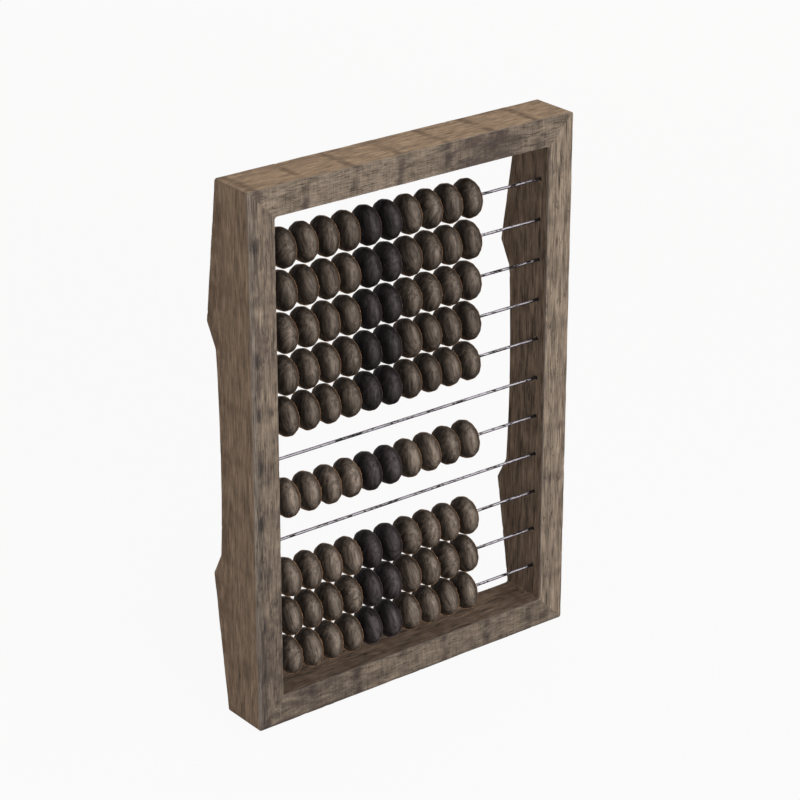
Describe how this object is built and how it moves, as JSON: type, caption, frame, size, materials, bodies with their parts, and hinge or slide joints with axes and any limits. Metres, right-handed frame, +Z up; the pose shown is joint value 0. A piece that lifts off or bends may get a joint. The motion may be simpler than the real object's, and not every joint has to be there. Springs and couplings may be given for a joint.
{
  "type": "abacus",
  "caption": "Upright timber counting frame with mitred corners, steel wires in blind sockets and flattened wooden beads that slide along them.",
  "frame": {"origin": "on the surface that the frame stands on, below the middle of the whole object's box", "axes": "+X along the wires from the left post to the right post, +Y from the front face to the back, +Z up along the posts"},
  "size_m": [0.28, 0.0558, 0.4],
  "materials": {
    "post_wood": "weathered, greyed, open grain along the post",
    "rail_wood": "weathered, greyed, open grain along the rail",
    "dowel_wood": "plain turned dowel",
    "wire_steel": "drawn wire with brown oxide streaks",
    "brown_bead": "stained, rubbed satin",
    "black_bead": "ebonised, rubbed satin"
  },
  "bodies": {
    "frame": {"bottom_rail": "rail_wood", "dowels_bottom_left": "dowel_wood", "dowels_bottom_right": "dowel_wood", "dowels_top_left": "dowel_wood", "dowels_top_right": "dowel_wood", "left_post": "post_wood", "right_post": "post_wood", "top_rail": "rail_wood", "wires": "wire_steel"},
    "row_01_beads_1_2": {"row_01_beads_1_2": "brown_bead"},
    "row_01_beads_3_4": {"row_01_beads_3_4": "brown_bead"},
    "row_01_beads_5_6": {"row_01_beads_5_6": "black_bead"},
    "row_01_beads_7_8": {"row_01_beads_7_8": "brown_bead"},
    "row_01_bead_9": {"row_01_bead_9": "brown_bead"},
    "row_01_bead_10": {"row_01_bead_10": "brown_bead"},
    "row_02_beads_1_2": {"row_02_beads_1_2": "brown_bead"},
    "row_02_beads_3_4": {"row_02_beads_3_4": "brown_bead"},
    "row_02_beads_5_6": {"row_02_beads_5_6": "black_bead"},
    "row_02_beads_7_8": {"row_02_beads_7_8": "brown_bead"},
    "row_02_beads_9_10": {"row_02_beads_9_10": "brown_bead"},
    "row_03_beads_1_2": {"row_03_beads_1_2": "brown_bead"},
    "row_03_beads_3_4": {"row_03_beads_3_4": "brown_bead"},
    "row_03_beads_5_6": {"row_03_beads_5_6": "black_bead"},
    "row_03_bead_7": {"row_03_bead_7": "brown_bead"},
    "row_03_beads_8_9": {"row_03_beads_8_9": "brown_bead"},
    "row_03_bead_10": {"row_03_bead_10": "brown_bead"},
    "row_04_beads_1_2": {"row_04_beads_1_2": "brown_bead"},
    "row_04_beads_3_4": {"row_04_beads_3_4": "brown_bead"},
    "row_04_beads_5_6": {"row_04_beads_5_6": "black_bead"},
    "row_04_beads_7_8": {"row_04_beads_7_8": "brown_bead"},
    "row_04_beads_9_10": {"row_04_beads_9_10": "brown_bead"},
    "row_05_beads_1_2": {"row_05_beads_1_2": "brown_bead"},
    "row_05_beads_3_4": {"row_05_beads_3_4": "brown_bead"},
    "row_05_bead_5": {"row_05_bead_5": "black_bead"},
    "row_05_bead_6": {"row_05_bead_6": "black_bead"},
    "row_05_beads_7_8": {"row_05_beads_7_8": "brown_bead"},
    "row_05_beads_9_10": {"row_05_beads_9_10": "brown_bead"},
    "row_07_beads_1_2": {"row_07_beads_1_2": "brown_bead"},
    "row_07_beads_3_4": {"row_07_beads_3_4": "brown_bead"},
    "row_07_beads_5_6": {"row_07_beads_5_6": "black_bead"},
    "row_07_beads_7_8": {"row_07_beads_7_8": "brown_bead"},
    "row_07_beads_9_10": {"row_07_beads_9_10": "brown_bead"},
    "row_09_beads_1_2": {"row_09_beads_1_2": "brown_bead"},
    "row_09_bead_3": {"row_09_bead_3": "brown_bead"},
    "row_09_bead_4": {"row_09_bead_4": "brown_bead"},
    "row_09_beads_5_6": {"row_09_beads_5_6": "black_bead"},
    "row_09_beads_7_8": {"row_09_beads_7_8": "brown_bead"},
    "row_09_beads_9_10": {"row_09_beads_9_10": "brown_bead"},
    "row_10_beads_1_2": {"row_10_beads_1_2": "brown_bead"},
    "row_10_beads_3_4": {"row_10_beads_3_4": "brown_bead"},
    "row_10_beads_5_6": {"row_10_beads_5_6": "black_bead"},
    "row_10_beads_7_8": {"row_10_beads_7_8": "brown_bead"},
    "row_10_beads_9_10": {"row_10_beads_9_10": "brown_bead"},
    "row_11_bead_1": {"row_11_bead_1": "brown_bead"},
    "row_11_beads_2_3": {"row_11_beads_2_3": "brown_bead"},
    "row_11_bead_4": {"row_11_bead_4": "brown_bead"},
    "row_11_beads_5_6": {"row_11_beads_5_6": "black_bead"},
    "row_11_beads_7_8": {"row_11_beads_7_8": "brown_bead"},
    "row_11_beads_9_10": {"row_11_beads_9_10": "brown_bead"}
  },
  "joints": [
    {"name": "row_01_beads_1_2_slide", "type": "slide", "parent": "frame", "child": "row_01_beads_1_2", "axis": [1, 0, 0], "range_m": [0, 0.055]},
    {"name": "row_01_beads_3_4_slide", "type": "slide", "parent": "frame", "child": "row_01_beads_3_4", "axis": [1, 0, 0], "range_m": [0, 0.055]},
    {"name": "row_01_beads_5_6_slide", "type": "slide", "parent": "frame", "child": "row_01_beads_5_6", "axis": [1, 0, 0], "range_m": [0, 0.055]},
    {"name": "row_01_beads_7_8_slide", "type": "slide", "parent": "frame", "child": "row_01_beads_7_8", "axis": [1, 0, 0], "range_m": [0, 0.055]},
    {"name": "row_01_slide", "type": "slide", "parent": "frame", "child": "row_01_bead_9", "axis": [1, 0, 0], "range_m": [0, 0.055]},
    {"name": "row_01_count", "type": "slide", "parent": "row_01_bead_9", "child": "row_01_bead_10", "axis": [-1, 0, 0], "range_m": [-0.055, 0]},
    {"name": "row_02_beads_1_2_slide", "type": "slide", "parent": "frame", "child": "row_02_beads_1_2", "axis": [1, 0, 0], "range_m": [0, 0.055]},
    {"name": "row_02_beads_3_4_slide", "type": "slide", "parent": "frame", "child": "row_02_beads_3_4", "axis": [1, 0, 0], "range_m": [0, 0.055]},
    {"name": "row_02_beads_5_6_slide", "type": "slide", "parent": "frame", "child": "row_02_beads_5_6", "axis": [1, 0, 0], "range_m": [0, 0.055]},
    {"name": "row_02_slide", "type": "slide", "parent": "frame", "child": "row_02_beads_7_8", "axis": [1, 0, 0], "range_m": [0, 0.055]},
    {"name": "row_02_count", "type": "slide", "parent": "row_02_beads_7_8", "child": "row_02_beads_9_10", "axis": [-1, 0, 0], "range_m": [-0.055, 0]},
    {"name": "row_03_beads_1_2_slide", "type": "slide", "parent": "frame", "child": "row_03_beads_1_2", "axis": [1, 0, 0], "range_m": [0, 0.055]},
    {"name": "row_03_beads_3_4_slide", "type": "slide", "parent": "frame", "child": "row_03_beads_3_4", "axis": [1, 0, 0], "range_m": [0, 0.055]},
    {"name": "row_03_beads_5_6_slide", "type": "slide", "parent": "frame", "child": "row_03_beads_5_6", "axis": [1, 0, 0], "range_m": [0, 0.055]},
    {"name": "row_03_slide", "type": "slide", "parent": "frame", "child": "row_03_bead_7", "axis": [1, 0, 0], "range_m": [0, 0.055]},
    {"name": "row_03_count", "type": "slide", "parent": "row_03_bead_7", "child": "row_03_beads_8_9", "axis": [-1, 0, 0], "range_m": [-0.055, 0]},
    {"name": "row_03_bead_10_count", "type": "slide", "parent": "row_03_bead_7", "child": "row_03_bead_10", "axis": [-1, 0, 0], "range_m": [-0.055, 0]},
    {"name": "row_04_beads_1_2_slide", "type": "slide", "parent": "frame", "child": "row_04_beads_1_2", "axis": [1, 0, 0], "range_m": [0, 0.055]},
    {"name": "row_04_beads_3_4_slide", "type": "slide", "parent": "frame", "child": "row_04_beads_3_4", "axis": [1, 0, 0], "range_m": [0, 0.055]},
    {"name": "row_04_slide", "type": "slide", "parent": "frame", "child": "row_04_beads_5_6", "axis": [1, 0, 0], "range_m": [0, 0.055]},
    {"name": "row_04_count", "type": "slide", "parent": "row_04_beads_5_6", "child": "row_04_beads_7_8", "axis": [-1, 0, 0], "range_m": [-0.055, 0]},
    {"name": "row_04_beads_9_10_count", "type": "slide", "parent": "row_04_beads_5_6", "child": "row_04_beads_9_10", "axis": [-1, 0, 0], "range_m": [-0.055, 0]},
    {"name": "row_05_beads_1_2_slide", "type": "slide", "parent": "frame", "child": "row_05_beads_1_2", "axis": [1, 0, 0], "range_m": [0, 0.055]},
    {"name": "row_05_beads_3_4_slide", "type": "slide", "parent": "frame", "child": "row_05_beads_3_4", "axis": [1, 0, 0], "range_m": [0, 0.055]},
    {"name": "row_05_slide", "type": "slide", "parent": "frame", "child": "row_05_bead_5", "axis": [1, 0, 0], "range_m": [0, 0.055]},
    {"name": "row_05_count", "type": "slide", "parent": "row_05_bead_5", "child": "row_05_bead_6", "axis": [-1, 0, 0], "range_m": [-0.055, 0]},
    {"name": "row_05_beads_7_8_count", "type": "slide", "parent": "row_05_bead_5", "child": "row_05_beads_7_8", "axis": [-1, 0, 0], "range_m": [-0.055, 0]},
    {"name": "row_05_beads_9_10_count", "type": "slide", "parent": "row_05_bead_5", "child": "row_05_beads_9_10", "axis": [-1, 0, 0], "range_m": [-0.055, 0]},
    {"name": "row_07_beads_1_2_slide", "type": "slide", "parent": "frame", "child": "row_07_beads_1_2", "axis": [1, 0, 0], "range_m": [0, 0.055]},
    {"name": "row_07_slide", "type": "slide", "parent": "frame", "child": "row_07_beads_3_4", "axis": [1, 0, 0], "range_m": [0, 0.055]},
    {"name": "row_07_count", "type": "slide", "parent": "row_07_beads_3_4", "child": "row_07_beads_5_6", "axis": [-1, 0, 0], "range_m": [-0.055, 0]},
    {"name": "row_07_beads_7_8_count", "type": "slide", "parent": "row_07_beads_3_4", "child": "row_07_beads_7_8", "axis": [-1, 0, 0], "range_m": [-0.055, 0]},
    {"name": "row_07_beads_9_10_count", "type": "slide", "parent": "row_07_beads_3_4", "child": "row_07_beads_9_10", "axis": [-1, 0, 0], "range_m": [-0.055, 0]},
    {"name": "row_09_beads_1_2_slide", "type": "slide", "parent": "frame", "child": "row_09_beads_1_2", "axis": [1, 0, 0], "range_m": [0, 0.055]},
    {"name": "row_09_slide", "type": "slide", "parent": "frame", "child": "row_09_bead_3", "axis": [1, 0, 0], "range_m": [0, 0.055]},
    {"name": "row_09_count", "type": "slide", "parent": "row_09_bead_3", "child": "row_09_bead_4", "axis": [-1, 0, 0], "range_m": [-0.055, 0]},
    {"name": "row_09_beads_5_6_count", "type": "slide", "parent": "row_09_bead_3", "child": "row_09_beads_5_6", "axis": [-1, 0, 0], "range_m": [-0.055, 0]},
    {"name": "row_09_beads_7_8_count", "type": "slide", "parent": "row_09_bead_3", "child": "row_09_beads_7_8", "axis": [-1, 0, 0], "range_m": [-0.055, 0]},
    {"name": "row_09_beads_9_10_count", "type": "slide", "parent": "row_09_bead_3", "child": "row_09_beads_9_10", "axis": [-1, 0, 0], "range_m": [-0.055, 0]},
    {"name": "row_10_slide", "type": "slide", "parent": "frame", "child": "row_10_beads_1_2", "axis": [1, 0, 0], "range_m": [0, 0.055]},
    {"name": "row_10_count", "type": "slide", "parent": "row_10_beads_1_2", "child": "row_10_beads_3_4", "axis": [-1, 0, 0], "range_m": [-0.055, 0]},
    {"name": "row_10_beads_5_6_count", "type": "slide", "parent": "row_10_beads_1_2", "child": "row_10_beads_5_6", "axis": [-1, 0, 0], "range_m": [-0.055, 0]},
    {"name": "row_10_beads_7_8_count", "type": "slide", "parent": "row_10_beads_1_2", "child": "row_10_beads_7_8", "axis": [-1, 0, 0], "range_m": [-0.055, 0]},
    {"name": "row_10_beads_9_10_count", "type": "slide", "parent": "row_10_beads_1_2", "child": "row_10_beads_9_10", "axis": [-1, 0, 0], "range_m": [-0.055, 0]},
    {"name": "row_11_slide", "type": "slide", "parent": "frame", "child": "row_11_bead_1", "axis": [1, 0, 0], "range_m": [0, 0.055]},
    {"name": "row_11_count", "type": "slide", "parent": "row_11_bead_1", "child": "row_11_beads_2_3", "axis": [-1, 0, 0], "range_m": [-0.055, 0]},
    {"name": "row_11_bead_4_count", "type": "slide", "parent": "row_11_bead_1", "child": "row_11_bead_4", "axis": [-1, 0, 0], "range_m": [-0.055, 0]},
    {"name": "row_11_beads_5_6_count", "type": "slide", "parent": "row_11_bead_1", "child": "row_11_beads_5_6", "axis": [-1, 0, 0], "range_m": [-0.055, 0]},
    {"name": "row_11_beads_7_8_count", "type": "slide", "parent": "row_11_bead_1", "child": "row_11_beads_7_8", "axis": [-1, 0, 0], "range_m": [-0.055, 0]},
    {"name": "row_11_beads_9_10_count", "type": "slide", "parent": "row_11_bead_1", "child": "row_11_beads_9_10", "axis": [-1, 0, 0], "range_m": [-0.055, 0]}
  ],
  "couplings": [
    {"joint": "row_01_beads_1_2_slide", "follows": "row_01_slide", "ratio": 1},
    {"joint": "row_01_beads_3_4_slide", "follows": "row_01_slide", "ratio": 1},
    {"joint": "row_01_beads_5_6_slide", "follows": "row_01_slide", "ratio": 1},
    {"joint": "row_01_beads_7_8_slide", "follows": "row_01_slide", "ratio": 1},
    {"joint": "row_02_beads_1_2_slide", "follows": "row_02_slide", "ratio": 1},
    {"joint": "row_02_beads_3_4_slide", "follows": "row_02_slide", "ratio": 1},
    {"joint": "row_02_beads_5_6_slide", "follows": "row_02_slide", "ratio": 1},
    {"joint": "row_03_beads_1_2_slide", "follows": "row_03_slide", "ratio": 1},
    {"joint": "row_03_beads_3_4_slide", "follows": "row_03_slide", "ratio": 1},
    {"joint": "row_03_beads_5_6_slide", "follows": "row_03_slide", "ratio": 1},
    {"joint": "row_03_bead_10_count", "follows": "row_03_count", "ratio": 1},
    {"joint": "row_04_beads_1_2_slide", "follows": "row_04_slide", "ratio": 1},
    {"joint": "row_04_beads_3_4_slide", "follows": "row_04_slide", "ratio": 1},
    {"joint": "row_04_beads_9_10_count", "follows": "row_04_count", "ratio": 1},
    {"joint": "row_05_beads_1_2_slide", "follows": "row_05_slide", "ratio": 1},
    {"joint": "row_05_beads_3_4_slide", "follows": "row_05_slide", "ratio": 1},
    {"joint": "row_05_beads_7_8_count", "follows": "row_05_count", "ratio": 1},
    {"joint": "row_05_beads_9_10_count", "follows": "row_05_count", "ratio": 1},
    {"joint": "row_07_beads_1_2_slide", "follows": "row_07_slide", "ratio": 1},
    {"joint": "row_07_beads_7_8_count", "follows": "row_07_count", "ratio": 1},
    {"joint": "row_07_beads_9_10_count", "follows": "row_07_count", "ratio": 1},
    {"joint": "row_09_beads_1_2_slide", "follows": "row_09_slide", "ratio": 1},
    {"joint": "row_09_beads_5_6_count", "follows": "row_09_count", "ratio": 1},
    {"joint": "row_09_beads_7_8_count", "follows": "row_09_count", "ratio": 1},
    {"joint": "row_09_beads_9_10_count", "follows": "row_09_count", "ratio": 1},
    {"joint": "row_10_beads_5_6_count", "follows": "row_10_count", "ratio": 1},
    {"joint": "row_10_beads_7_8_count", "follows": "row_10_count", "ratio": 1},
    {"joint": "row_10_beads_9_10_count", "follows": "row_10_count", "ratio": 1},
    {"joint": "row_11_bead_4_count", "follows": "row_11_count", "ratio": 1},
    {"joint": "row_11_beads_5_6_count", "follows": "row_11_count", "ratio": 1},
    {"joint": "row_11_beads_7_8_count", "follows": "row_11_count", "ratio": 1},
    {"joint": "row_11_beads_9_10_count", "follows": "row_11_count", "ratio": 1}
  ]
}
